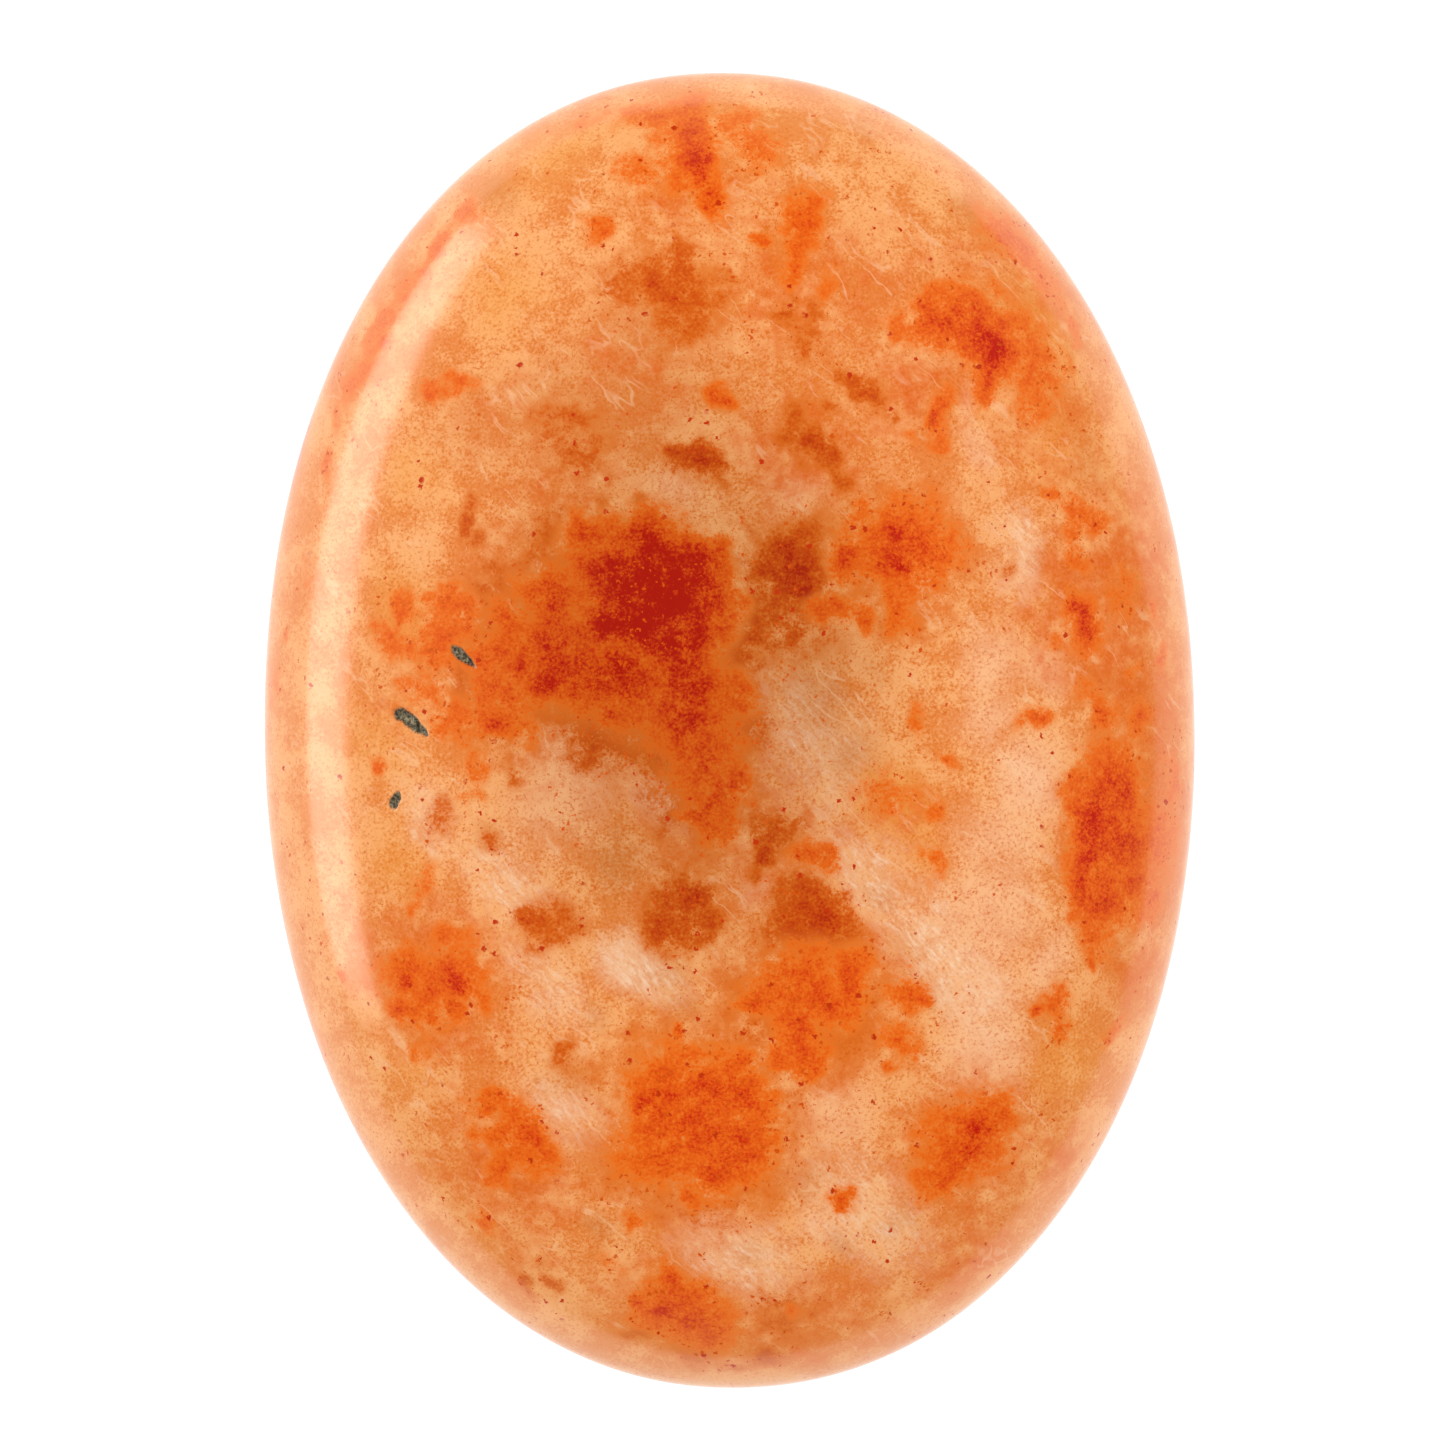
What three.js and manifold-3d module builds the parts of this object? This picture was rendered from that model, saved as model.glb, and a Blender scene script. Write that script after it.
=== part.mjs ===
// A polished sunstone palm stone, in millimetres with +Z up.
// It lies on its back, which is polished almost flat in the middle.
// The long axis runs along Y, and the origin is in the middle of the flat patch under the stone.
import * as THREE from "three";
import { mergeVertices } from "three/addons/utils/BufferGeometryUtils.js";
import Module from "manifold-3d";

// Driving dimensions
const LENGTH = 70; // end to end, along Y
const WIDTH = 49.5; // side to side, along X
const THICKNESS = 20; // from the flat patch to the crown of the upper face
const FLAT_LENGTH = 24; // of the flat patch underneath, along Y
const OUTLINE_POWER = 2.09; // 2 is a true ellipse, and more is fuller at the corners
const FACE_POWER = 2.5; // 2 is a true ellipsoid, and more has flatter faces and a tighter shoulder
const END_LEAN = 0.28; // how far the +Y end was ground off to the -X side
const FACE_STEPS = 15; // cuts along each edge of the icosahedron that the surface starts from

// Small natural pits in the upper face. Each is a tapered hollow around a grain of rock.
// x and y are its middle, and turn is its long axis in degrees, anticlockwise from +X.
const PITS = [
  { x: -16.6, y: 0.65, length: 2.4, width: 1.0, depth: 0.4, taper: 0.6, turn: -40 },
  { x: -13.85, y: 4.05, length: 1.8, width: 0.8, depth: 0.35, taper: 0.6, turn: -41 },
  { x: -17.55, y: -3.4, length: 1.0, width: 0.7, depth: 0.3, taper: 0.4, turn: 60 },
];
const PIT_SEGMENTS = 14; // round a pit
const PIT_RINGS = 8; // down a pit

// The full lens is symmetrical, and the flat patch takes a thin slice off its lower face.
const FLAT_SHARE = FLAT_LENGTH / LENGTH;
const FLAT_HEIGHT_SHARE = Math.sqrt(1 - FLAT_SHARE ** FACE_POWER);
const HALF_HEIGHT = THICKNESS / (1 + FLAT_HEIGHT_SHARE);
const GIRDLE_Z = THICKNESS - HALF_HEIGHT; // height of the widest part

const wasm = await Module();
wasm.setup();

// A closed mesh as a solid that can be cut.
function solidOf(geometry) {
  const bare = geometry.clone();
  bare.deleteAttribute("normal");
  bare.deleteAttribute("uv");
  const merged = mergeVertices(bare);
  return new wasm.Manifold(
    new wasm.Mesh({
      numProp: 3,
      vertProperties: merged.attributes.position.array,
      triVerts: new Uint32Array(merged.index.array),
    }),
  );
}

// A solid back as a geometry that three.js can draw, with flat facets.
function geometryOf(solid) {
  const mesh = solid.getMesh();
  const geometry = new THREE.BufferGeometry()
    .setAttribute("position", new THREE.BufferAttribute(mesh.vertProperties, 3))
    .setIndex(new THREE.BufferAttribute(mesh.triVerts, 1))
    .toNonIndexed();
  geometry.computeVertexNormals();
  return geometry;
}

// The stone leans a little to one side towards its +Y end.
function leanAt(y) {
  return -END_LEAN * Math.max(0, y / (LENGTH / 2)) ** 2;
}

// How far out a place is, in shares of the half width and half length: 0 on the axis, 1 on the outline.
function outlineShare(across, along) {
  return (Math.abs(across) ** OUTLINE_POWER + Math.abs(along) ** OUTLINE_POWER) ** (1 / OUTLINE_POWER);
}

// Moves a point of the unit sphere onto the uncut stone.
function ontoStone(point) {
  const fromAxis = Math.hypot(point.x, point.y);
  const share = fromAxis ** (2 / FACE_POWER);
  const reach = fromAxis > 0 ? share / outlineShare(point.x, point.y) : 0;
  const y = (LENGTH / 2) * reach * point.y;
  point.set((WIDTH / 2) * reach * point.x + leanAt(y), y, GIRDLE_Z + HALF_HEIGHT * point.z);
}

// Height of the upper face above a place on the table.
function upperFaceAt(x, y) {
  const share = outlineShare((x - leanAt(y)) / (WIDTH / 2), y / (LENGTH / 2));
  return GIRDLE_Z + HALF_HEIGHT * Math.sqrt(1 - share ** FACE_POWER);
}

// The outward direction of the upper face there.
function upperNormalAt(x, y) {
  const step = 0.01;
  const slopeX = (upperFaceAt(x + step, y) - upperFaceAt(x - step, y)) / (2 * step);
  const slopeY = (upperFaceAt(x, y + step) - upperFaceAt(x, y - step)) / (2 * step);
  return new THREE.Vector3(-slopeX, -slopeY, 1).normalize();
}

function uncutStone() {
  const ball = new THREE.IcosahedronGeometry(1, FACE_STEPS);
  const positions = ball.getAttribute("position");
  const point = new THREE.Vector3();
  for (let i = 0; i < positions.count; i++) {
    ontoStone(point.fromBufferAttribute(positions, i));
    positions.setXYZ(i, point.x, point.y, point.z);
  }
  return solidOf(ball);
}

// The slice that the back loses, as a block with its top at z = 0.
function backSlice() {
  const block = new THREE.BoxGeometry(2 * WIDTH, 2 * LENGTH, THICKNESS);
  block.translate(0, 0, -THICKNESS / 2);
  return solidOf(block);
}

// The space inside one pit: half of a drop shape that narrows towards one end, square to the face.
function pitSpace(pit) {
  const drop = new THREE.SphereGeometry(1, PIT_SEGMENTS, PIT_RINGS);
  const positions = drop.getAttribute("position");
  for (let i = 0; i < positions.count; i++) {
    const narrowing = 1 - pit.taper * (0.5 + 0.5 * positions.getX(i));
    positions.setXYZ(
      i,
      (pit.length / 2) * positions.getX(i),
      (pit.width / 2) * narrowing * positions.getY(i),
      pit.depth * narrowing * positions.getZ(i),
    );
  }
  const up = new THREE.Vector3(0, 0, 1);
  drop.rotateZ(THREE.MathUtils.degToRad(pit.turn));
  drop.applyQuaternion(new THREE.Quaternion().setFromUnitVectors(up, upperNormalAt(pit.x, pit.y)));
  drop.translate(pit.x, pit.y, upperFaceAt(pit.x, pit.y));
  return solidOf(drop);
}

function stoneGeometry() {
  let stone = uncutStone().subtract(backSlice());
  for (const pit of PITS) {
    stone = stone.subtract(pitSpace(pit));
  }
  return geometryOf(stone);
}

const polishedFeldspar = new THREE.MeshStandardMaterial({ color: 0xe59a68, roughness: 0.18, metalness: 0 });

const sunstone = new THREE.Mesh(stoneGeometry(), polishedFeldspar);
sunstone.name = "sunstone";

const part = new THREE.Group();
part.add(sunstone);

export default part;
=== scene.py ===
# A polished sunstone palm stone on a white table, seen from straight above.
import math
import random

import bmesh
import bpy
from mathutils import Matrix, Vector, noise
from mathutils.kdtree import KDTree


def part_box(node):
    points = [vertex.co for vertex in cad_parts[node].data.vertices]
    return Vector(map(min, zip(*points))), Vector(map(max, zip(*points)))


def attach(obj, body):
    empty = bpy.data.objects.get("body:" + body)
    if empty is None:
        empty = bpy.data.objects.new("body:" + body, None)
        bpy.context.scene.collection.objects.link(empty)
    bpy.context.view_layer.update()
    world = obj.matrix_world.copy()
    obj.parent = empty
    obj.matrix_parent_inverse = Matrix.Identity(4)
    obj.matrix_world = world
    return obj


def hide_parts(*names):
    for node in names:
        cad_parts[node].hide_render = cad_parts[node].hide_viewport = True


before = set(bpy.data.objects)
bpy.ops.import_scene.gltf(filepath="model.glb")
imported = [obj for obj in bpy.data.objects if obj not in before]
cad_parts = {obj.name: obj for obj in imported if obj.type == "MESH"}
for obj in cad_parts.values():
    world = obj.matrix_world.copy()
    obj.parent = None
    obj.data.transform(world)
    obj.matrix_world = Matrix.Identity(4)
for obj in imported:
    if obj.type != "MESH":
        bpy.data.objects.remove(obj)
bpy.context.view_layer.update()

# The stone
# One piece of feldspar, sawn from the rough and ground by hand to an oval pillow, then polished all over.
# Its back is polished flat in the middle, and it rests on that patch.
# Three natural pits, all in the upper face, are too deep for the wheel and keep a fill of dark gritty rock.
MM = 0.001  # in metres. The stone is worked out in millimetres, until its mesh is done.
low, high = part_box("sunstone")
HALF_WIDTH = (high[0] - low[0]) / 2 / MM
HALF_LENGTH = (high[1] - low[1]) / 2 / MM
THICKNESS = high[2] / MM
FLAT_LENGTH = 24  # of the patch underneath
OUTLINE_POWER = 2.09  # 2 is a true ellipse, and more is fuller at the corners
FACE_POWER = 2.5  # 2 is a true ellipsoid, and more has flatter faces
END_LEAN = 0.28  # how far the far end was ground off to the left
FLAT_HEIGHT_SHARE = math.sqrt(1 - (FLAT_LENGTH / 2 / HALF_LENGTH) ** FACE_POWER)
HALF_HEIGHT = THICKNESS / (1 + FLAT_HEIGHT_SHARE)
GIRDLE = THICKNESS - HALF_HEIGHT  # height of the widest part
FINENESS = 7  # 1 is an icosahedron, and each step up splits every face in four
FINER_ABOVE = 0.25  # on the unit sphere. Most of the upper face lies above it and is split once more.
GRINDING_WAVE = 9  # from one shallow hollow of the hand grinding to the next
GRINDING_DEPTH = 0.05  # of those hollows, at most

# Each pit's middle, length, width and depth, and its long axis in degrees anticlockwise from +X.
# A pit narrows towards that end by its taper.
PITS = (
    {"x": -16.6, "y": 0.65, "length": 2.3, "width": 0.95, "depth": 0.4, "taper": 0.6, "turn": -40},
    {"x": -13.85, "y": 4.05, "length": 1.75, "width": 0.75, "depth": 0.35, "taper": 0.6, "turn": -41},
    {"x": -17.55, "y": -3.4, "length": 0.95, "width": 0.65, "depth": 0.3, "taper": 0.4, "turn": 60},
)
PIT_SURROUND = 0.4  # how far round a pit the mesh is made finer
PIT_CUTS = 3  # across each edge there
NARROWEST = 0.1  # the least share of its width that a pit narrows to
RAGGEDNESS = 0.5  # of a pit's rim. 0 is smooth.
RAGS = 2.5  # of the rim, in a millimetre
CRUMBS = 5  # of the fill, in a millimetre
FILL_EDGE = 6  # how steeply the fill's colour comes in at the rim


def outline_share(across, along):
    """How far out a place is: 0 on the axis, 1 on the outline."""
    return (abs(across) ** OUTLINE_POWER + abs(along) ** OUTLINE_POWER) ** (1 / OUTLINE_POWER)


def lean(y):
    return -END_LEAN * max(0, y / HALF_LENGTH) ** 2


def onto_stone(point):
    """A point of the unit sphere, moved onto the stone's surface."""
    from_axis = math.hypot(point.x, point.y)
    reach = from_axis ** (2 / FACE_POWER) / outline_share(point.x, point.y) if from_axis > 0 else 0
    y = HALF_LENGTH * reach * point.y
    z = max(0, GIRDLE + HALF_HEIGHT * point.z)
    return Vector((HALF_WIDTH * reach * point.x + lean(y), y, z))


def upper_face(x, y):
    """The place on the upper face above x and y."""
    share = min(1, outline_share((x - lean(y)) / HALF_WIDTH, y / HALF_LENGTH))
    return Vector((x, y, GIRDLE + HALF_HEIGHT * math.sqrt(1 - share**FACE_POWER)))


def lower_face(x, y):
    """The place on the lower face below x and y."""
    return Vector((x, y, max(0, 2 * GIRDLE - upper_face(x, y).z)))


def pit_fill(pit, place):
    """How far into a pit a place is: 1 at its middle, 0 at its ragged rim and outside."""
    if place.z < GIRDLE:
        return 0
    turn = math.radians(pit["turn"])
    away = place - upper_face(pit["x"], pit["y"])
    along = (away.x * math.cos(turn) + away.y * math.sin(turn)) / (pit["length"] / 2)
    across = (away.y * math.cos(turn) - away.x * math.sin(turn)) / (pit["width"] / 2)
    narrowing = max(NARROWEST, 1 - pit["taper"] * (0.5 + 0.5 * along))
    ragged = 1 + RAGGEDNESS * noise.noise(place * RAGS)
    return max(0, 1 - ragged * (along**2 + (across / narrowing) ** 2))


# Stains of iron oxide inside the stone, read off on a millimetre grid. Each row is x, y, radius
# and strength, and how the stain lies if it is longer one way.
STRETCH = 1.8  # how many times as long as wide it then is
LIES = {"level": 0, "rising": 45, "upright": 90, "falling": -45}
MELTING = 3  # 1 would add up stains that overlap, and a high number would keep only the strongest

# Bright stains near the surface: 0.35 is a pale orange haze, 0.6 orange, 0.8 orange red and 1 red.
FLAMES = (
    (-3.6, 32.6, 1.1, 0.6, "level"),
    (-1.7, 32.3, 1.4, 0.62),
    (-1.7, 30.7, 1.4, 0.7),
    (-0.9, 29.4, 1.1, 0.74, "upright"),
    (-0.7, 27.8, 0.9, 0.7, "upright"),
    (-0.3, 30.1, 0.4, 0.9),
    (-0.7, 26.6, 0.3, 0.7),
    (1.0, 31.8, 0.9, 0.45),
    (2.1, 30.3, 1.0, 0.45),
    (-4.3, 29.3, 1.1, 0.42),
    (-2.6, 29.0, 0.8, 0.42),
    (-6.5, 26.7, 0.8, 0.4),
    (-7.2, 32.4, 0.7, 0.35),
    (-15.2, 25.3, 0.9, 0.48, "rising"),
    (-16.6, 23.6, 0.8, 0.42, "rising"),
    (-13.5, 27.3, 0.6, 0.55, "upright"),
    (-18.1, 21.1, 1.0, 0.44, "rising"),
    (-19.2, 18.9, 0.9, 0.42, "rising"),
    (-20.3, 16.8, 0.6, 0.38, "upright"),
    (-15.2, 18.3, 0.5, 0.6, "level"),
    (-13.6, 18.7, 0.6, 0.38, "level"),
    (-0.2, 17.2, 0.7, 0.6),
    (4.5, 26.8, 1.0, 0.58, "upright"),
    (3.6, 25.0, 0.8, 0.5, "upright"),
    (1.8, 25.6, 0.45, 0.7),
    (3.4, 23.6, 0.5, 0.5, "upright"),
    (5.7, 23.0, 0.6, 0.45, "upright"),
    (9.3, 20.7, 1.0, 0.42),
    (11.0, 21.4, 0.9, 0.66, "upright"),
    (12.9, 21.4, 1.7, 0.58, "level"),
    (13.4, 20.2, 1.7, 0.66),
    (14.1, 20.2, 0.9, 0.88, "upright"),
    (13.6, 18.4, 0.8, 0.76, "upright"),
    (15.4, 25.5, 1.1, 0.52, "falling"),
    (14.9, 25.5, 0.3, 0.7, "falling"),
    (17.0, 23.2, 0.8, 0.5, "falling"),
    (18.2, 20.6, 0.6, 0.42, "upright"),
    (14.6, 23.3, 0.5, 0.45),
    (15.9, 19.6, 1.6, 0.42, "upright"),
    (15.5, 18.5, 0.6, 0.45),
    (16.2, 16.8, 0.9, 0.38),
    (11.3, 16.6, 0.6, 0.6, "upright"),
    (11.1, 16.1, 0.3, 0.8),
    (11.6, 14.8, 0.7, 0.4),
    (9.8, 15.3, 0.5, 0.4),
    (-4.6, 8.6, 2.4, 1.05),
    (-3.2, 6.6, 2.4, 1.1),
    (-4.9, 5.8, 1.9, 1.0),
    (-1.6, 8.6, 1.3, 0.86),
    (-1.3, 4.9, 1.2, 0.86),
    (-4.3, 10.6, 0.9, 0.9),
    (-2.8, 4.2, 1.2, 0.9),
    (-6.2, 8.2, 1.2, 0.75),
    (-5.8, 5.6, 1.3, 0.85),
    (-0.6, 9.6, 0.8, 0.55),
    (0.3, 7.2, 0.6, 0.5, "upright"),
    (-7.3, 2.9, 0.7, 0.85, "level"),
    (-9.7, 2.6, 0.7, 0.85, "level"),
    (-11.3, 3.1, 0.8, 0.7),
    (-5.3, 3.0, 0.7, 0.85, "level"),
    (-8.3, 4.8, 1.6, 0.66),
    (-10.3, 4.5, 1.3, 0.62),
    (-12.3, 4.0, 1.2, 0.58),
    (-12.6, 2.4, 1.0, 0.6),
    (-8.8, 7.0, 1.4, 0.64),
    (-10.2, 7.8, 0.8, 0.55),
    (-7.6, 9.9, 1.2, 0.6),
    (-11.5, 6.3, 1.0, 0.55),
    (-13.9, 5.9, 1.1, 0.5),
    (-14.9, 7.0, 0.8, 0.52),
    (-15.3, 4.7, 1.2, 0.45),
    (-12.7, 0.7, 0.7, 0.74),
    (-13.9, 0.9, 1.2, 0.5),
    (-15.0, 0.2, 0.5, 0.55, "falling"),
    (-11.5, 1.5, 0.9, 0.55),
    (-11.0, 0.1, 0.8, 0.42),
    (-16.8, 6.8, 0.9, 0.42),
    (-18.4, 5.8, 0.9, 0.42),
    (-17.2, 5.1, 0.7, 0.4, "level"),
    (-16.2, 2.6, 1.2, 0.33),
    (-6.4, 0.8, 0.5, 0.8),
    (-8.0, 1.6, 0.45, 0.7),
    (-9.6, 4.0, 1.9, 0.66),
    (-7.6, 3.0, 2.0, 0.66),
    (-5.0, 2.2, 2.0, 0.7),
    (-2.2, 2.6, 1.7, 0.76),
    (-2.5, 0.5, 1.7, 0.66),
    (-1.6, 1.4, 1.5, 0.6),
    (-5.2, 1.3, 0.9, 0.55),
    (-1.6, -1.6, 1.7, 0.6),
    (-1.0, -3.9, 1.2, 0.64),
    (0.5, 1.9, 0.9, 0.6),
    (0.4, -3.0, 0.9, 0.68),
    (-0.7, -5.2, 0.9, 0.5),
    (-2.2, -4.0, 0.3, 0.7, "level"),
    (6.3, 9.0, 0.9, 0.62, "upright"),
    (6.6, 11.2, 0.6, 0.5),
    (9.0, 10.6, 0.9, 0.8),
    (9.3, 9.2, 2.3, 0.62),
    (9.3, 8.3, 0.7, 0.84),
    (9.0, 6.4, 0.8, 0.52, "upright"),
    (11.3, 9.4, 1.2, 0.48),
    (5.3, 6.1, 0.6, 0.55, "falling"),
    (6.5, 5.6, 0.5, 0.55, "falling"),
    (16.9, 12.3, 0.5, 0.5),
    (18.3, 11.3, 0.6, 0.48, "falling"),
    (19.3, 10.7, 0.8, 0.52),
    (18.3, 9.9, 0.7, 0.42),
    (18.5, 8.5, 0.6, 0.45, "falling"),
    (18.7, 5.4, 0.6, 0.7, "level"),
    (18.8, 5.1, 1.2, 0.58),
    (17.2, 4.3, 0.6, 0.3),
    (21.2, 7.7, 0.7, 0.42),
    (22.4, 5.5, 0.6, 0.42),
    (22.8, 3.5, 0.6, 0.45),
    (21.5, 3.1, 0.4, 0.4),
    (20.6, 6.4, 0.8, 0.35),
    (15.9, 0.2, 0.7, 0.5),
    (19.7, 0.4, 0.9, 0.55),
    (18.7, 1.9, 0.8, 0.35),
    (21.7, 0.0, 0.9, 0.5),
    (10.3, 0.3, 0.4, 0.4, "upright"),
    (11.4, -1.5, 0.3, 0.45, "falling"),
    (20.3, -2.6, 1.7, 0.58),
    (20.9, -3.4, 1.1, 0.64),
    (19.3, -4.2, 1.6, 0.6),
    (20.4, -5.4, 2.0, 0.6),
    (19.0, -5.4, 0.8, 0.86, "upright"),
    (18.9, -7.1, 1.1, 0.72, "upright"),
    (18.5, -8.8, 1.0, 0.66),
    (21.2, -6.0, 1.3, 0.6, "upright"),
    (20.6, -7.8, 1.9, 0.56),
    (19.6, -9.4, 1.6, 0.58),
    (19.2, -11.2, 1.0, 0.52),
    (19.1, -12.3, 0.3, 0.5, "upright"),
    (17.9, -10.4, 0.6, 0.5),
    (21.3, -9.8, 0.6, 0.45, "upright"),
    (23.2, -3.0, 0.7, 0.5, "upright"),
    (22.7, -6.4, 1.2, 0.52, "upright"),
    (22.2, -9.0, 1.0, 0.5),
    (17.0, -14.6, 0.8, 0.5),
    (16.1, -15.0, 0.3, 0.65, "level"),
    (17.2, -15.9, 0.45, 0.5),
    (20.2, -15.9, 0.6, 0.35, "rising"),
    (19.6, -16.7, 0.4, 0.4),
    (-18.3, -1.6, 0.5, 0.5),
    (-13.4, -1.9, 0.5, 0.5, "upright"),
    (-13.4, -3.4, 0.35, 0.65, "level"),
    (-16.0, -7.5, 0.6, 0.38, "rising"),
    (-16.7, -8.7, 0.45, 0.42, "rising"),
    (-14.3, -10.7, 0.9, 0.5),
    (-16.9, -11.9, 1.0, 0.56),
    (-14.1, -12.7, 1.1, 0.66),
    (-13.7, -13.4, 0.5, 0.78),
    (-15.6, -13.2, 1.6, 0.55),
    (-17.2, -12.6, 0.9, 0.6),
    (-17.3, -14.2, 0.7, 0.76),
    (-14.7, -14.8, 0.4, 0.85, "level"),
    (-16.0, -14.6, 0.9, 0.5),
    (-18.4, -12.8, 0.6, 0.42, "level"),
    (-13.0, -14.0, 0.7, 0.45),
    (-20.6, -12.7, 0.25, 0.5, "falling"),
    (-16.3, -16.6, 0.7, 0.4),
    (4.2, -6.4, 0.8, 0.55),
    (6.2, -12.9, 1.2, 0.6),
    (5.7, -14.6, 1.2, 0.6),
    (2.9, -13.2, 1.7, 0.52),
    (1.0, -14.0, 0.5, 0.68, "level"),
    (3.4, -15.4, 1.3, 0.6),
    (3.9, -17.0, 1.0, 0.6),
    (2.4, -16.6, 0.8, 0.54),
    (4.5, -13.8, 1.4, 0.5),
    (9.2, -13.9, 1.0, 0.54),
    (10.0, -14.3, 0.3, 0.72, "level"),
    (8.6, -16.2, 0.8, 0.42),
    (8.0, -17.6, 0.3, 0.7),
    (8.1, -3.6, 1.3, 0.28),
    (10.4, -4.6, 0.6, 0.45),
    (10.5, -3.8, 0.3, 0.6),
    (10.4, -7.3, 0.5, 0.45, "level"),
    (10.3, -8.3, 0.5, 0.38),
    (-3.9, -18.9, 2.0, 0.58),
    (-1.3, -19.0, 2.0, 0.6),
    (0.6, -19.4, 1.4, 0.62),
    (-4.0, -21.4, 2.0, 0.58),
    (-1.4, -21.6, 2.2, 0.6),
    (0.8, -21.8, 1.5, 0.56),
    (-5.2, -19.4, 0.5, 0.78),
    (-3.2, -19.2, 0.4, 0.72),
    (-0.4, -22.9, 1.1, 0.6),
    (-1.3, -23.6, 0.5, 0.74),
    (-2.7, -24.4, 0.5, 0.62),
    (-3.1, -15.9, 0.3, 0.85),
    (-2.8, -17.0, 0.7, 0.5, "level"),
    (0.4, -17.6, 0.9, 0.55),
    (-11.4, -20.6, 1.1, 0.64),
    (-10.9, -21.7, 1.2, 0.6),
    (-12.3, -22.9, 0.8, 0.52, "rising"),
    (-12.7, -19.4, 0.6, 0.5, "level"),
    (-13.4, -20.6, 0.6, 0.4),
    (-11.8, -22.3, 0.35, 0.76),
    (-12.0, -24.0, 0.4, 0.4, "upright"),
    (-13.2, -25.6, 0.8, 0.72),
    (-12.5, -26.5, 0.5, 0.6, "falling"),
    (12.4, -21.6, 0.9, 0.82),
    (12.0, -21.8, 2.1, 0.6),
    (10.6, -23.1, 1.2, 0.56),
    (13.2, -20.6, 1.0, 0.5),
    (-3.1, -30.3, 1.9, 0.58),
    (-2.6, -30.9, 0.5, 0.82),
    (-4.0, -30.6, 0.4, 0.72, "level"),
    (-5.3, -29.9, 0.5, 0.68),
    (-1.6, -31.4, 1.5, 0.54),
    (-4.8, -31.0, 1.0, 0.5),
    (-3.4, -28.7, 0.4, 0.55, "upright"),
    (-6.6, -27.8, 0.7, 0.28),
    (-5.4, -25.6, 0.5, 0.5),
    (5.6, -24.6, 0.6, 0.45),
    (3.1, -30.5, 0.5, 0.4),
    (-24.2, 2.6, 0.8, 0.3, "upright"),
    (-23.0, 0.5, 0.3, 0.5, "upright"),
    (-21.1, 14.3, 0.4, 0.5, "upright"),
    (-21.5, 12.3, 0.3, 0.4, "level"),
    (-22.3, 8.0, 0.3, 0.35, "upright"),
    (-23.4, 4.8, 0.3, 0.4, "upright"),
    (-21.7, -16.2, 0.5, 0.35, "upright"),
    (-21.8, -8.5, 0.3, 0.5),
)

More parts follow.
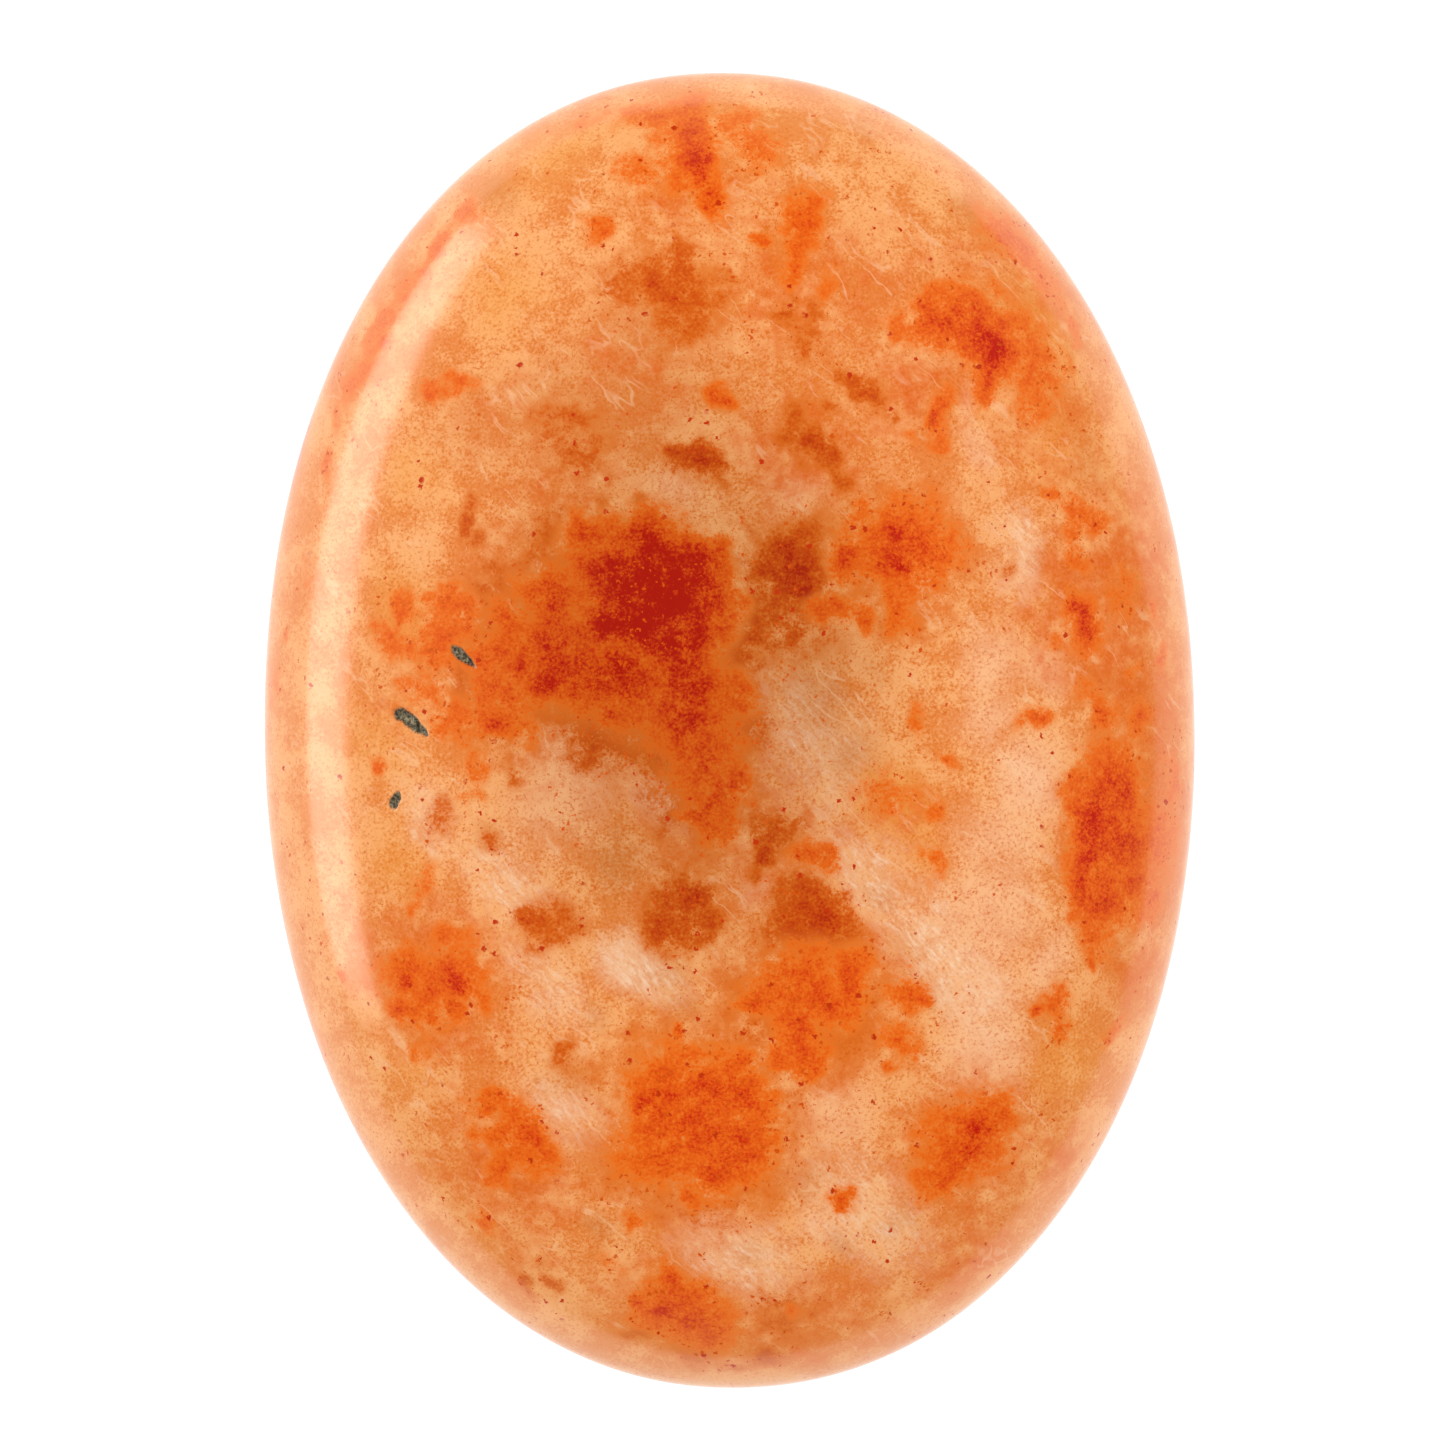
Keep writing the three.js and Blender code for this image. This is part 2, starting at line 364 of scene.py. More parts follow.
# Dull stains deeper in the stone, from tan through brown orange to rust.
RUSTS = (
    (6.7, 18.6, 0.5, 0.5, "falling"),
    (7.8, 17.6, 0.6, 0.65, "falling"),
    (8.6, 16.8, 0.5, 0.5),
    (3.5, 15.6, 0.7, 0.55, "upright"),
    (4.4, 14.6, 0.9, 0.65),
    (5.0, 13.9, 0.6, 0.6),
    (5.6, 12.9, 0.55, 0.5),
    (5.8, 16.8, 0.7, 0.4),
    (3.3, 21.6, 0.7, 0.4),
    (5.4, 21.7, 0.7, 0.4),
    (4.5, 20.1, 1.1, 0.35),
    (-3.2, 23.3, 1.7, 0.5, "level"),
    (-2.2, 21.4, 1.6, 0.4),
    (-2.0, 24.4, 0.8, 0.4),
    (-2.4, 14.3, 0.5, 0.7),
    (-1.3, 13.7, 0.8, 0.85, "level"),
    (-0.2, 13.3, 0.5, 0.7),
    (-4.2, 12.2, 0.35, 0.45),
    (-6.2, 12.3, 0.4, 0.5, "upright"),
    (-9.3, 11.3, 0.4, 0.5, "level"),
    (-13.5, 11.3, 0.6, 0.6, "upright"),
    (-12.9, 10.4, 0.6, 0.5),
    (-12.2, 9.3, 0.4, 0.55, "falling"),
    (-12.2, 7.6, 0.9, 0.4),
    (-8.6, 16.0, 1.6, 0.4),
    (-7.6, 14.4, 1.3, 0.35),
    (-9.9, 10.2, 1.2, 0.3),
    (3.3, 8.9, 1.5, 0.8),
    (3.5, 7.6, 1.0, 0.95),
    (3.0, 6.8, 3.2, 0.45),
    (9.0, 8.8, 3.0, 0.45),
    (1.0, 11.0, 0.5, 0.4, "falling"),
    (14.3, 8.6, 0.4, 0.4, "upright"),
    (-10.6, 4.6, 3.4, 0.65),
    (-7.4, 7.4, 2.4, 0.7),
    (-6.6, 2.0, 3.0, 0.8),
    (-12.6, 1.8, 2.2, 0.55),
    (-2.4, 1.4, 3.2, 0.85),
    (-1.2, -2.8, 2.4, 0.62),
    (1.2, 4.4, 1.8, 0.45),
    (-11.2, -1.8, 0.6, 0.4),
    (-3.6, -0.4, 0.9, 1.0),
    (-8.7, -16.6, 0.8, 0.4),
    (-7.0, -16.9, 0.4, 0.35, "rising"),
    (-9.6, -9.9, 1.3, 0.55),
    (-9.2, -10.6, 0.8, 0.5),
    (-2.6, -8.5, 1.3, 0.75),
    (-3.1, -10.0, 1.2, 0.62),
    (-1.6, -10.1, 1.0, 0.68),
    (-2.6, -7.4, 0.7, 0.55),
    (-3.7, -6.4, 0.5, 0.5),
    (-3.9, -5.2, 0.5, 0.4),
    (3.9, -9.4, 1.5, 0.78),
    (4.1, -10.6, 1.3, 0.85),
    (2.6, -10.6, 1.0, 0.6),
    (5.3, -10.2, 0.9, 0.6),
    (2.2, -5.3, 1.2, 0.6),
    (1.9, -6.5, 0.6, 0.85),
    (3.6, -5.4, 0.6, 0.45),
    (1.3, -7.4, 0.3, 0.55, "rising"),
    (4.0, -14.2, 3.4, 0.55),
    (-1.8, -20.6, 4.4, 0.5),
    (-5.3, -31.7, 0.7, 0.75),
    (-2.4, -32.2, 1.4, 0.65),
    (-10.4, -27.8, 0.35, 0.5, "upright"),
    (-10.5, -29.1, 0.4, 0.6, "upright"),
    (-9.3, -28.9, 0.4, 0.45, "level"),
    (2.6, -30.6, 1.6, 0.4),
    (1.7, -33.2, 0.9, 0.55),
    (0.0, -33.6, 0.5, 0.4, "level"),
    (-14.9, -4.3, 0.9, 0.35),
    (-12.8, -5.5, 0.6, 0.45),
)

# Clouds in the ground of the stone: greyish tan, pale pink and yellow.
TANS = (
    (-4.5, 18.8, 3.5, 0.6),
    (-9.0, 17.0, 2.6, 0.6),
    (-3.5, 21.6, 2.4, 0.7),
    (-11.8, 28.5, 1.0, 0.5),
    (-12.2, 16.5, 2.4, 0.4),
    (4.6, 1.4, 1.6, 0.8),
    (6.3, -1.3, 1.4, 0.8),
    (5.0, 3.6, 1.4, 0.6),
    (7.6, 3.0, 1.2, 0.4),
    (18.7, 14.0, 1.2, 0.4),
    (18.6, 20.0, 0.8, 0.5),
    (15.9, 8.4, 0.8, 0.5),
    (13.2, 27.4, 1.0, 0.5),
    (7.5, 32.2, 0.8, 0.5),
    (-6.1, -6.5, 1.3, 0.6),
    (-12.8, -5.5, 0.7, 0.6),
    (-3.4, -12.4, 1.1, 0.7),
    (-2.6, -14.5, 0.7, 0.7),
    (-7.1, -14.7, 0.6, 0.6),
    (-8.8, -18.2, 1.5, 0.5),
    (7.6, -8.5, 0.7, 1.0, "falling"),
    (8.8, -11.5, 1.1, 0.6),
    (10.8, -13.8, 0.7, 0.7, "falling"),
    (0.4, -27.3, 0.6, 0.9, "falling"),
    (5.3, -27.3, 0.5, 0.9, "falling"),
    (8.0, -26.2, 0.7, 0.8),
    (3.4, -24.0, 0.9, 0.7),
    (9.2, -25.6, 0.6, 0.7, "falling"),
    (-7.6, -25.4, 0.6, 0.7, "falling"),
)
PALES = (
    (-8.4, -1.4, 2.2, 0.6),
    (-9.5, -4.2, 1.9, 0.4),
    (15.6, -2.9, 1.7, 1.0),
    (13.2, -9.8, 2.3, 0.7),
    (13.2, -14.2, 2.0, 0.7),
    (13.0, -17.2, 2.0, 0.8),
    (16.2, -12.4, 1.3, 0.6),
    (16.6, 2.8, 1.2, 0.6),
    (13.8, 3.3, 1.5, 0.6),
    (13.6, 0.6, 1.3, 0.6),
    (14.0, -5.8, 2.0, 0.6),
    (13.4, 14.6, 0.5, 0.8, "upright"),
    (12.8, 17.0, 0.5, 0.8, "upright"),
    (22.7, 9.5, 0.4, 0.5, "upright"),
    (-1.6, -25.6, 1.3, 0.6),
    (5.0, -20.0, 1.8, 0.5),
    (4.2, -26.2, 1.0, 0.5),
    (-9.0, -19.6, 1.0, 0.5),
    (-5.4, -11.8, 1.2, 0.8),
    (1.5, -8.3, 0.8, 0.6),
    (15.0, 8.2, 0.35, 0.9, "upright"),
    (15.7, 7.3, 0.6, 0.6),
    (3.6, 12.2, 1.0, 0.5),
    (-2.4, 12.4, 1.2, 0.4),
)
YELLOWS = (
    (8.2, -3.6, 1.6, 0.9),
    (8.6, -6.0, 1.8, 0.6),
    (16.6, 21.0, 2.4, 0.8),
    (-17.0, 6.5, 1.7, 0.8),
    (-18.5, 0.0, 2.4, 0.5),
    (-17.5, -6.5, 2.0, 0.6),
    (-11.4, 23.0, 1.8, 0.7),
    (-9.5, 30.5, 1.8, 0.5),
    (17.0, 14.5, 1.8, 0.6),
    (-16.5, 13.5, 1.5, 0.6),
    (17.4, -17.4, 1.8, 0.5),
    (-17.0, -17.0, 1.8, 0.4),
)

# A wash of orange, which is a thinner swarm of the same plates.
WASHES = (
    (-1.0, 28.5, 4.0, 0.5),
    (8.5, 23.5, 4.0, 0.35),
    (21.6, 9.0, 4.0, 0.6),
    (22.2, 1.0, 4.0, 0.65),
    (22.8, -4.5, 3.0, 0.8),
    (22.8, -8.0, 2.8, 0.8),
    (12.0, -28.2, 2.8, 0.6),
    (2.5, -31.5, 3.0, 0.6),
    (-19.4, 19.0, 2.0, 0.6),
    (16.5, 23.0, 4.5, 0.55),
    (4.0, 23.0, 3.5, 0.6),
    (17.0, 15.0, 4.0, 0.4),
    (-4.0, 19.0, 4.5, 0.4),
    (4.0, 14.5, 3.5, 0.6),
    (10.0, 17.5, 3.0, 0.6),
    (9.0, 9.0, 3.5, 0.7),
    (19.0, 6.0, 4.0, 0.7),
    (-10.0, 4.5, 5.5, 0.8),
    (-3.0, 2.5, 4.0, 0.8),
    (-1.5, -3.0, 3.5, 0.7),
    (2.5, -6.5, 3.0, 0.6),
    (-2.5, -9.0, 2.5, 0.6),
    (20.8, -5.5, 3.8, 0.8),
    (21.6, -13.0, 3.0, 0.55),
    (17.5, -22.5, 2.4, 0.5),
    (-11.0, -28.0, 2.4, 0.4),
    (-17.5, 2.0, 2.6, 0.4),
    (-15.5, -13.0, 4.0, 0.7),
    (4.0, -14.0, 4.5, 0.8),
    (-2.0, -21.0, 5.0, 0.8),
    (-12.0, -22.5, 4.0, 0.6),
    (12.0, -22.0, 3.5, 0.7),
    (-3.0, -30.5, 4.0, 0.6),
    (6.0, -31.0, 4.0, 0.4),
    (-17.0, 23.6, 1.6, 0.6),
    (-22.4, 8.0, 1.8, 0.4),
    (-12.0, 17.0, 3.0, 0.3),
    (8.5, -5.0, 3.0, 0.4),
    (-8.0, 12.0, 3.5, 0.4),
)

# Silky veils where the cleavage of the feldspar catches light.
VEILS = (
    (7.0, -7.8, 1.4, 1.0, "falling"),
    (10.5, -11.5, 1.6, 1.0, "falling"),
    (-4.7, -12.5, 1.2, 1.0, "falling"),
    (-11.5, -8.0, 1.3, 0.8, "falling"),
    (-9.5, -13.2, 1.2, 0.7, "falling"),
    (-15.5, -4.4, 1.0, 0.8, "falling"),
    (-3.6, -3.4, 0.9, 0.7, "falling"),
    (-9.0, -19.5, 1.2, 0.7, "falling"),
    (0.3, -27.8, 1.6, 0.9, "falling"),
    (7.0, -25.5, 2.0, 0.7, "falling"),
    (12.0, -13.5, 1.5, 0.7, "falling"),
    (4.0, -1.0, 2.0, 0.5, "falling"),
    (15.0, 9.5, 1.0, 0.8, "upright"),
)


# How far the stains' outlines stray from round, in wide swings and in small ones, and how long a swing is
STRAY_SEED = 3
WIDE_STRAY = 0.9
WIDE_SWING = 3
SMALL_STRAY = 0.35
SMALL_SWING = 0.9


def strayed(place):
    """The place, shifted a little at random, so that a round stain gets a natural outline."""
    wide = WIDE_STRAY * noise.noise_vector(place / WIDE_SWING)
    small = SMALL_STRAY * noise.noise_vector(place / SMALL_SWING)
    return place + wide + small


# The stains of the back, which aren't known
BACK_SEED = 5
CROWD_SPREAD = 1.8
WEAKEST = 0.35
SMALLEST = 0.5
LARGEST = 1.3


def strewn(chance, crowds, each, strongest):
    """Rows of stains in random crowds."""
    rows = []
    for _ in range(crowds):
        crowd_x = chance.uniform(-HALF_WIDTH, HALF_WIDTH)
        crowd_y = chance.uniform(-HALF_LENGTH, HALF_LENGTH)
        for _ in range(each):
            x = chance.gauss(crowd_x, CROWD_SPREAD)
            y = chance.gauss(crowd_y, CROWD_SPREAD)
            strength = chance.uniform(WEAKEST, strongest)
            radius = chance.uniform(SMALLEST, LARGEST)
            rows.append((x, y, radius, strength, chance.choice(tuple(LIES))))
    return rows


# An icosphere, finer on the upper face and finest round the pits
shape = bmesh.new()
bmesh.ops.create_icosphere(shape, subdivisions=FINENESS, radius=1)
upper = [edge for edge in shape.edges if min(vert.co.z for vert in edge.verts) > FINER_ABOVE]
bmesh.ops.subdivide_edges(shape, edges=upper, cuts=1, use_grid_fill=True)
for vert in shape.verts:
    vert.co = onto_stone(vert.co.normalized())
for pit in PITS:
    reach = pit["length"] / 2 + PIT_SURROUND
    middle = upper_face(pit["x"], pit["y"])
    near = [edge for edge in shape.edges if (edge.verts[0].co - middle).length < reach]
    cut = bmesh.ops.subdivide_edges(shape, edges=near, cuts=PIT_CUTS, use_grid_fill=True)
    for vert in {piece for piece in cut["geom_inner"] if isinstance(piece, bmesh.types.BMVert)}:
        vert.co = upper_face(vert.co.x, vert.co.y)
shape.normal_update()
shape.verts.ensure_lookup_table()

# The stains, as a number at each vertex
noise.seed_set(STRAY_SEED)
for name in ("grit", "bright_stain", "deep_stain", "wash", "tan", "pale", "yellow", "veil"):
    shape.verts.layers.float.new(name)
spots = KDTree(len(shape.verts))
for vert in shape.verts:
    spots.insert(strayed(vert.co), vert.index)
spots.balance()


def stain(name, face, rows):
    """Adds soft round stains, half as strong at their radius, which melt together where they meet."""
    layer = shape.verts.layers.float[name]
    for x, y, radius, strength, *lie in rows:
        upright = Matrix.Rotation(-math.radians(LIES[lie[0]]), 3, "Z") if lie else Matrix.Identity(3)
        stretch = STRETCH if lie else 1
        middle = face(x, y)
        for spot, number, _ in spots.find_range(middle, 2 * radius * stretch):
            away = upright @ (spot - middle)
            away.x /= stretch
            full = max(0, 1 - away.length / radius / 2)
            vert = shape.verts[number]
            here = strength * full * full * (3 - 2 * full)
            vert[layer] = (vert[layer] ** MELTING + here**MELTING) ** (1 / MELTING)


stain("bright_stain", upper_face, FLAMES)
stain("deep_stain", upper_face, RUSTS)
stain("wash", upper_face, WASHES)
stain("tan", upper_face, TANS)
stain("pale", upper_face, PALES)
stain("yellow", upper_face, YELLOWS)
stain("veil", upper_face, VEILS)
chance = random.Random(BACK_SEED)
stain("bright_stain", lower_face, strewn(chance, crowds=30, each=6, strongest=0.85))
stain("deep_stain", lower_face, strewn(chance, crowds=14, each=4, strongest=0.9))
stain("wash", lower_face, strewn(chance, crowds=60, each=3, strongest=0.7))
stain("tan", lower_face, strewn(chance, crowds=12, each=3, strongest=0.7))
stain("pale", lower_face, strewn(chance, crowds=12, each=3, strongest=0.7))

# The pits, and the slight unevenness of grinding by hand, from which the flat patch is free
grit = shape.verts.layers.float["grit"]
for vert in shape.verts:
    place = vert.co.copy()
    sunk = GRINDING_DEPTH * (0.5 + 0.5 * noise.noise(place / GRINDING_WAVE)) * min(1, place.z)
    fills = [pit_fill(pit, place) for pit in PITS]
    deepest = max(range(len(PITS)), key=fills.__getitem__)
    if fills[deepest] > 0:
        crumb = 0.75 + 0.5 * noise.noise(place * CRUMBS)
        sunk += PITS[deepest]["depth"] * math.sqrt(fills[deepest]) * crumb
        vert[grit] = min(1, FILL_EDGE * fills[deepest])
    vert.co = place - vert.normal * sunk
bmesh.ops.triangulate(shape, faces=[face for face in shape.faces if len(face.verts) > 4])
bmesh.ops.scale(shape, verts=shape.verts, vec=(MM, MM, MM))
for face in shape.faces:
    face.smooth = True
stone_mesh = bpy.data.meshes.new("sunstone_polished")
shape.to_mesh(stone_mesh)
shape.free()
stone = bpy.data.objects.new("sunstone_polished", stone_mesh)
bpy.context.collection.objects.link(stone)


class Shade:
    """One output of a shader node. Arithmetic on it adds Math nodes, so 1 - mask works."""

    def __init__(self, finish, made, output):
        self.finish = finish
        self.made = made
        self.socket = pick(made.outputs, output)

    def output(self, name):
        """Another output of the same node."""
        return Shade(self.finish, self.made, name)

    def maths(self, operation, *numbers):
        return self.finish.node("ShaderNodeMath", {"operation": operation}, dict(enumerate(numbers)))

    def __add__(self, other):
        return self.maths("ADD", self, other)

    __radd__ = __add__

    def __sub__(self, other):
        return self.maths("SUBTRACT", self, other)

    def __rsub__(self, other):
        return self.maths("SUBTRACT", other, self)

    def __mul__(self, other):
        return self.maths("MULTIPLY", self, other)

    __rmul__ = __mul__

    def __truediv__(self, other):
        return self.maths("DIVIDE", self, other)


def pick(sockets, key):
    """A socket by its number, or by its identifier."""
    if isinstance(key, int):
        return sockets[key]
    return next(socket for socket in sockets if socket.identifier == key)


class Finish:
    """A material that is put together node by node."""

    def __init__(self, name):
        self.material = bpy.data.materials.new(name)
        self.material.use_nodes = True
        self.tree = self.material.node_tree
        self.tree.nodes.clear()

    def node(self, kind, settings, inputs, output=0):
        """Adds a node. A ramp's stops are a setting too, each with its position and colour."""
        made = self.tree.nodes.new(kind)
        for name, setting in settings.items():
            if name != "stops":
                setattr(made, name, setting)
                continue
            while len(made.color_ramp.elements) < len(setting):
                made.color_ramp.elements.new(1)
            for element, (position, colour) in zip(made.color_ramp.elements, setting):
                element.position = position
                element.color = colour
        for key, given in inputs.items():
            if isinstance(given, Shade):
                self.tree.links.new(given.socket, pick(made.inputs, key))
            else:
                pick(made.inputs, key).default_value = given
        return Shade(self, made, output) if made.outputs else None

    def fade(self, number, at_none, at_full):
        """0 where the number is at_none, 1 where it is at_full, and smooth between them."""
        return self.node(
            "ShaderNodeMapRange",
            {"interpolation_type": "SMOOTHSTEP"},
            {"Value": number, "From Min": at_none, "From Max": at_full},
        )

    def blend(self, under, over, share):
        return self.node(
            "ShaderNodeMix",
            {"data_type": "RGBA"},
            {"Factor_Float": share, "A_Color": under, "B_Color": over},
            "Result_Color",
        )

    def clouds(self, place, size, detail, roughness=0.5):
        """Soft random clouds of about that size, around 0.5."""
        inputs = {"Vector": place, "Scale": 1 / size, "Detail": detail, "Roughness": roughness}
        return self.node("ShaderNodeTexNoise", {}, inputs)


BRIGHTENING = 1.06  # how much brighter than itself a matt colour looks under these lights, on the whole


def paint(red, green, blue):
    """A colour as it looks in the finished picture, under this scene's lights, in steps of 0 to 255."""
    steps = [step / 255 for step in (red, green, blue)]
    shown = [step / 12.92 if step <= 0.04045 else ((step + 0.055) / 1.055) ** 2.4 for step in steps]
    return (*(step / BRIGHTENING for step in shown), 1)


polish = Finish("polished_sunstone")
in_metres = polish.node("ShaderNodeTexCoord", {}, {}, "Object")
place = polish.node("ShaderNodeVectorMath", {"operation": "SCALE"}, {0: in_metres, "Scale": 1 / MM})


def stained(name):
    return polish.node("ShaderNodeAttribute", {"attribute_name": name}, {}, "Fac")


def frayed(amount, clouding, graining):
    """The amount of a stain, made cloudy inside and granular at its edge."""
    return amount + amount.maths("SQRT", amount) * (clouding * (clouded - 0.5) + graining * (grain - 0.5))


# The ground, from pale peach to tan orange, with an orange wash round the stains and a fine grain
grain = polish.clouds(place, 0.16, 3.0, 0.7)
clouded = polish.clouds(place, 1.0, 5.0, 0.66)
blush = polish.fade(polish.clouds(place, 3.0, 6.0, 0.66) + 0.5 * (grain - 0.5), 0.4, 0.6)
ground = polish.blend(paint(232, 131, 56), paint(247, 170, 104), blush)
ground = polish.blend(ground, paint(242, 156, 64), 0.8 * frayed(stained("yellow"), 0.8, 0.4))
ground = polish.blend(ground, paint(212, 126, 60), 0.9 * frayed(stained("tan"), 0.8, 0.4))
ground = polish.blend(ground, paint(252, 192, 146), 0.9 * frayed(stained("pale"), 0.8, 0.4))
wash = polish.fade(frayed(stained("wash"), 2.2, 1.2), 0.1, 0.8)
ground = polish.blend(ground, paint(228, 100, 10), 0.95 * wash)
ground = polish.blend(ground, paint(250, 194, 146), 0.15 * polish.fade(grain, 0.46, 0.68))
ground = polish.blend(ground, paint(214, 98, 4), 0.6 * polish.fade(grain, 0.47, 0.33))

# Silky veils, whose fibres all run one way
VEIL_TURN = math.radians(-48)
FIBRE_SHAPE = (5, 1, 2)  # how long and deep a fibre is for its width
WAVER = (0.9, 0.9, 0.9)  # how far the fibres waver, in millimetres
swirl = polish.clouds(place, 1.6, 2.0).output("Color")
swirled = polish.node(
    "ShaderNodeVectorMath", {"operation": "MULTIPLY_ADD"}, {0: swirl, 1: WAVER, 2: place}
)
along_fibres = polish.node(
    "ShaderNodeMapping",
    {"vector_type": "TEXTURE"},
    {"Vector": swirled, "Rotation": (0, 0, VEIL_TURN), "Scale": FIBRE_SHAPE},
)
fibres = polish.fade(polish.clouds(along_fibres, 0.22, 5.0, 0.75), 0.42, 0.66)
veil = frayed(stained("veil"), 2.4, 0.8)
ground = polish.blend(ground, paint(246, 188, 142), 0.5 * veil)
ground = polish.blend(ground, paint(252, 212, 176), 0.8 * veil * fibres)

# Fine pale threads, which are healed cracks
healing = polish.clouds(along_fibres, 1.3, 2.0) - 0.5
thread = polish.fade(healing.maths("ABSOLUTE", healing), 0.024, 0.004)
near_thread = polish.fade(polish.clouds(swirled, 2.4, 2.0), 0.5, 0.66)
ground = polish.blend(ground, paint(252, 198, 150), 0.4 * thread * near_thread)

# The stains, which are swarms of tiny plates
rust = frayed(stained("deep_stain"), 2.0, 1.8)
RUST_STOPS = (
    (0.1, paint(230, 126, 48)),
    (0.35, paint(220, 102, 16)),
    (0.6, paint(208, 80, 4)),
    (0.85, paint(196, 58, 2)),
    (1.0, paint(180, 38, 2)),
)
rust_colour = polish.node("ShaderNodeValToRGB", {"stops": RUST_STOPS}, {"Fac": rust})
ground = polish.blend(ground, rust_colour, polish.fade(rust, 0.02, 0.44))
flame = frayed(stained("bright_stain"), 1.8, 1.8)
FLAME_STOPS = (
    (0.1, paint(242, 134, 50)),
    (0.35, paint(238, 108, 16)),
    (0.6, paint(228, 84, 4)),
    (0.8, paint(212, 54, 2)),
    (1.0, paint(192, 24, 0)),
)
flame_colour = polish.node("ShaderNodeValToRGB", {"stops": FLAME_STOPS}, {"Fac": flame})
ground = polish.blend(ground, flame_colour, polish.fade(flame, 0.03, 0.36))

# Painted light: the edge, where the stone is thin, is painted paler for the light that shines through it and
# the pale sheen of the rim
height = polish.node("ShaderNodeSeparateXYZ", {}, {"Vector": place}, "Z")
above_girdle = height - GIRDLE
from_girdle = above_girdle.maths("ABSOLUTE", above_girdle)
ground = polish.blend(ground, paint(252, 184, 120), 0.32 * polish.fade(from_girdle, 7, 1))

# Painted shade: the colour is darkened round a point just left of the middle, where the thick stone looks
# dimmer
PAINTED_SHADE_MIDDLE = (-2, 3, THICKNESS)
PAINTED_SHADE_REACH = (13, 19, THICKNESS)
from_painted_shade_middle = polish.node(
    "ShaderNodeMapping",
    {"vector_type": "TEXTURE"},
    {"Vector": place, "Location": PAINTED_SHADE_MIDDLE, "Scale": PAINTED_SHADE_REACH},
)
away = polish.node("ShaderNodeVectorMath", {"operation": "LENGTH"}, {0: from_painted_shade_middle}, "Value")
# painted shade, at most 0.22 darker
painted_shade = 1 - 0.22 * polish.fade(away, 1.1, 0.35)
ground = polish.node("ShaderNodeVectorMath", {"operation": "SCALE"}, {0: ground, "Scale": painted_shade})

# Dark grains, scattered through the stone in crowds, and thickest round the stains
PUSH = (0.4, 0.4, 0.4)  # how far the grains' outlines are pushed about, in millimetres
jitter = polish.clouds(place, 0.2, 2.0).output("Color")
jittered = polish.node(
    "ShaderNodeVectorMath", {"operation": "MULTIPLY_ADD"}, {0: jitter, 1: PUSH, 2: place}
)
fringe = polish.fade(flame, 0.0, 0.25) + polish.fade(rust, 0.0, 0.25)


def specks(spacing, radius, crowd_size, crowded):
    """A mask of crowds of grains with ragged outlines, whose radius varies up to the given one."""
    cell = polish.node("ShaderNodeTexVoronoi", {}, {"Vector": jittered, "Scale": 1 / spacing})
    share = polish.node(
        "ShaderNodeVectorMath",
        {"operation": "DOT_PRODUCT"},
        {0: cell.output("Color"), 1: (1, 0, 0)},
        "Value",
    )
    dot = polish.fade(cell.output("Distance") / share, 1.1 * radius / spacing, 0.8 * radius / spacing)
    crowd = polish.fade(polish.clouds(place, crowd_size, 3.0, 0.6) + 0.1 * fringe, *crowded)
    return dot * crowd


ground = polish.blend(ground, paint(214, 82, 0), specks(0.34, 0.12, 1.6, (0.56, 0.64)))
ground = polish.blend(ground, paint(196, 50, 0), specks(0.75, 0.165, 3.0, (0.53, 0.6)))

# The dark gritty rock in the pits
in_pit = polish.node("ShaderNodeAttribute", {"attribute_name": "grit"}, {}, "Fac")
crumbs = polish.fade(polish.clouds(place, 0.18, 3.0, 0.7), 0.4, 0.68)
rock = polish.blend(paint(58, 50, 32), paint(168, 154, 120), crumbs)
surface_colour = polish.blend(ground, rock, in_pit)

# The polish, which is a little uneven and doesn't reach into the pits
shine = 0.15 + 0.05 * polish.clouds(place, 4.0, 3.0)
roughness = shine + 0.6 * in_pit
polish.node(
    "ShaderNodeOutputMaterial",
    {},
    {
        "Surface": polish.node(
            "ShaderNodeBsdfPrincipled",
            {},
            {
                "Base Color": surface_colour,
                "Roughness": roughness,
                "IOR": 1.54,
            },
        )
    },
)
stone_mesh.materials.append(polish.material)
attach(stone, "root")
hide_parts("sunstone")

# The table
# A wide light table of white acrylic, lit from below.
# It glows much more than it reflects, so the stone leaves no shadow that shows from straight above.
TABLE_SIDE = 6.0  # in metres, as are the lights' sizes
TABLE_GLOW = 0.85
tabletop = bmesh.new()
bmesh.ops.create_grid(tabletop, x_segments=1, y_segments=1, size=TABLE_SIDE / 2)
table_mesh = bpy.data.meshes.new("table")
tabletop.to_mesh(table_mesh)
tabletop.free()
table = bpy.data.objects.new("table", table_mesh)
bpy.context.collection.objects.link(table)
board = Finish("white_board")
board.node(
    "ShaderNodeOutputMaterial",
    {},
    {
        "Surface": board.node(
            "ShaderNodeBsdfPrincipled",
            {},
            {
                "Base Color": (0.3, 0.3, 0.3, 1),
                "Roughness": 0.6,
                "Specular IOR Level": 0.0,
                "Emission Color": (1, 1, 1, 1),
                "Emission Strength": TABLE_GLOW,
            },
        )
    },
)
table_mesh.materials.append(board.material)

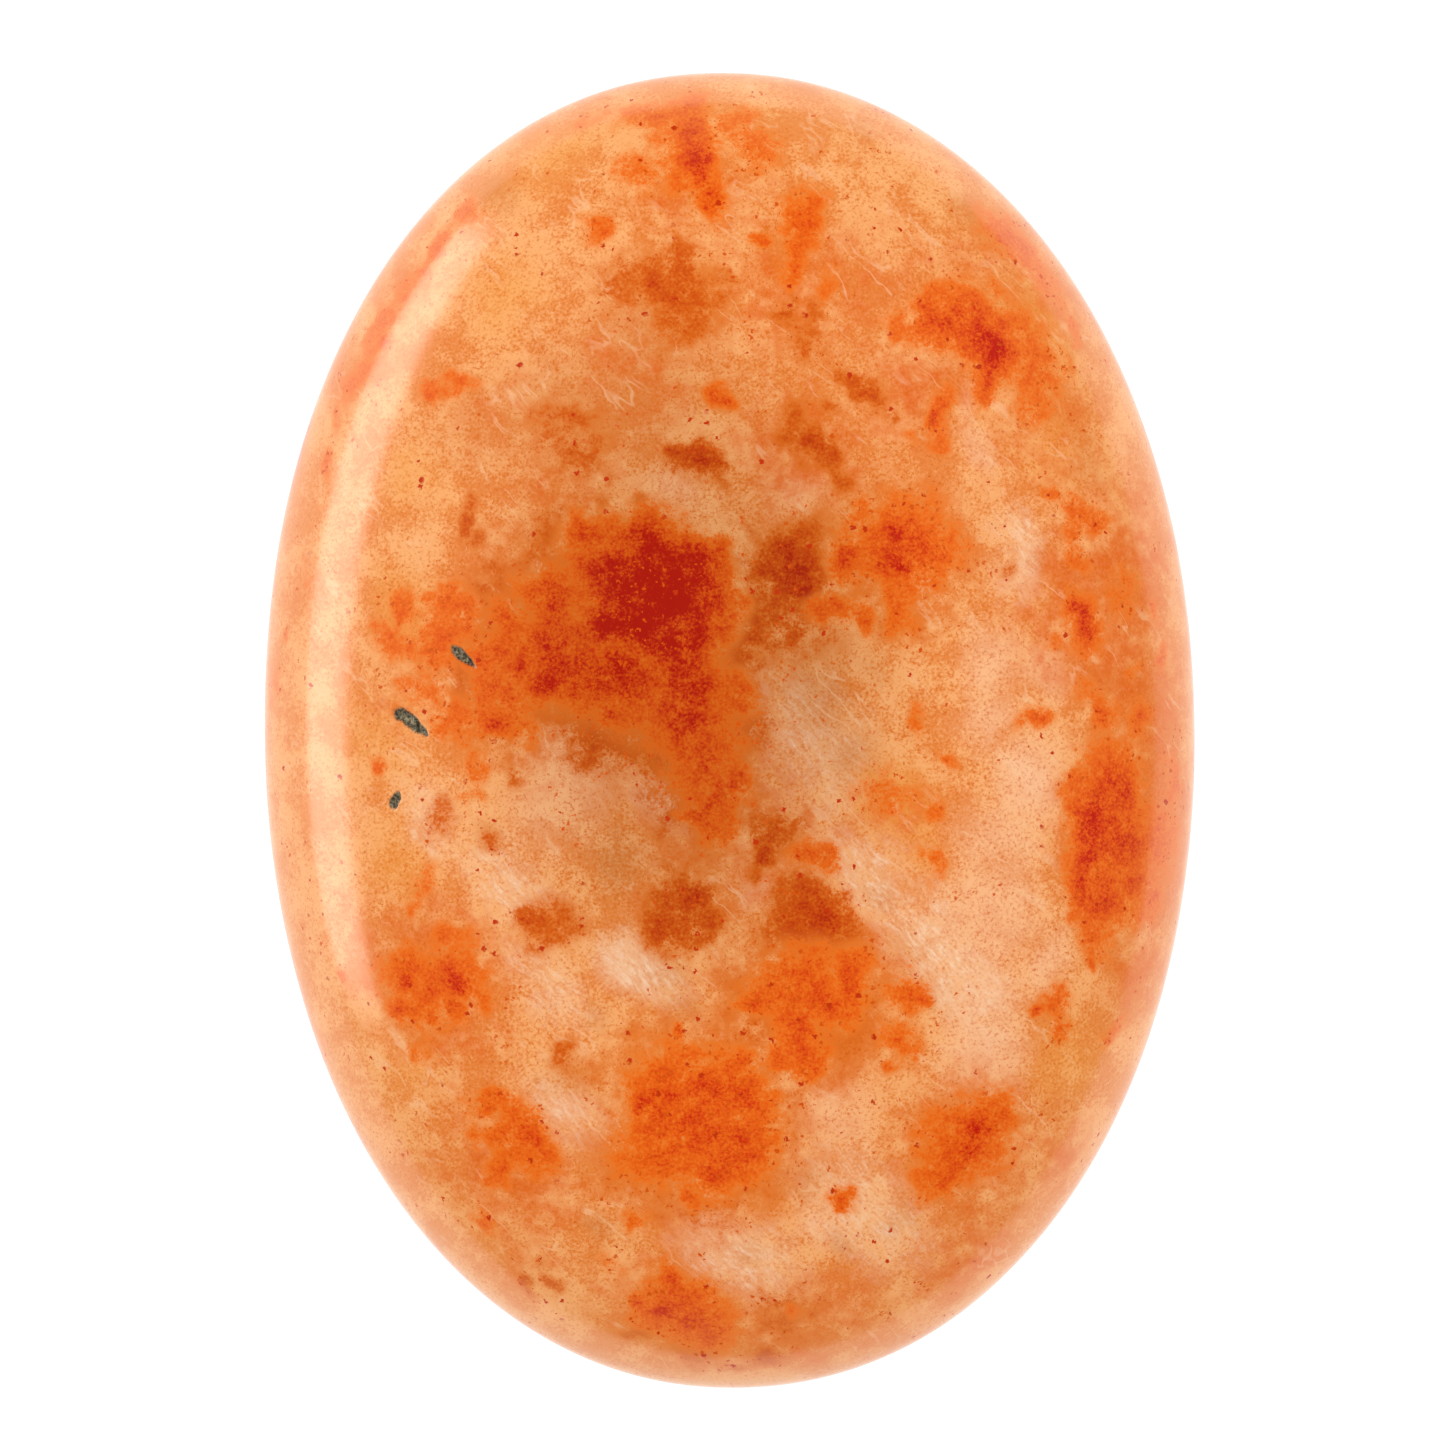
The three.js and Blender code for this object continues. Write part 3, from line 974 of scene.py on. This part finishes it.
# The lights
# A white room and two soft lights, filtered so that they leave no reflection, as in the photograph.
# The one light that the stone mirrors is a low, slightly warm softbox on its left, towards the far end.
ROOM_BRIGHTNESS = 0.7
room = bpy.data.worlds.new("white_room")
bpy.context.scene.world = room
room.use_nodes = True
walls = room.node_tree.nodes["Background"]
walls.inputs["Color"].default_value = (1, 1, 1, 1)
walls.inputs["Strength"].default_value = ROOM_BRIGHTNESS
room.cycles_visibility.glossy = False


def soft_light(name, azimuth, elevation, distance, width, height, power):
    """A rectangular light that faces the stone. Azimuth is anticlockwise from +X, in degrees."""
    lamp = bpy.data.lights.new(name, "AREA")
    lamp.shape = "RECTANGLE"
    lamp.size = width
    lamp.size_y = height
    lamp.energy = power
    holder = bpy.data.objects.new(name, lamp)
    around = math.radians(azimuth)
    up = math.radians(elevation)
    towards = Vector((math.cos(up) * math.cos(around), math.cos(up) * math.sin(around), math.sin(up)))
    holder.location = towards * distance
    holder.rotation_euler = towards.to_track_quat("Z", "Y").to_euler()
    bpy.context.collection.objects.link(holder)
    return holder


softbox = soft_light(
    "side_softbox", azimuth=165, elevation=15.5, distance=0.55, width=0.72, height=0.224, power=3.1
)
softbox.data.color = (1.0, 0.96, 0.86)
softbox.visible_diffuse = False
key_light = soft_light("key_light", azimuth=155, elevation=42, distance=1.2, width=1.4, height=1, power=6.7)
key_light.visible_glossy = False
fill_light = soft_light("fill_light", azimuth=15, elevation=45, distance=1.2, width=1.4, height=1, power=5.5)
fill_light.visible_glossy = False

# The camera
# Straight above the stone with a long lens.
# The stone lies a hair off square and off centre in its view.
LENS = 200
SENSOR = 36
FRAME_WIDTH = 76.885  # what the view takes in at the girdle, in millimetres
VIEW_TURN = math.radians(-0.827)
OFF_CENTRE = Vector((-0.374, 0.411, 0))  # of the camera, seen in its own view
camera_data = bpy.data.cameras.new("camera")
camera_data.lens = LENS
camera_data.sensor_width = SENSOR
camera = bpy.data.objects.new("camera", camera_data)
camera.rotation_euler = (0, 0, VIEW_TURN)
camera.location = Matrix.Rotation(VIEW_TURN, 3, "Z") @ OFF_CENTRE * MM
camera.location.z = (GIRDLE + FRAME_WIDTH * LENS / SENSOR) * MM
bpy.context.collection.objects.link(camera)
bpy.context.scene.camera = camera
bpy.context.scene.view_settings.view_transform = "Standard"
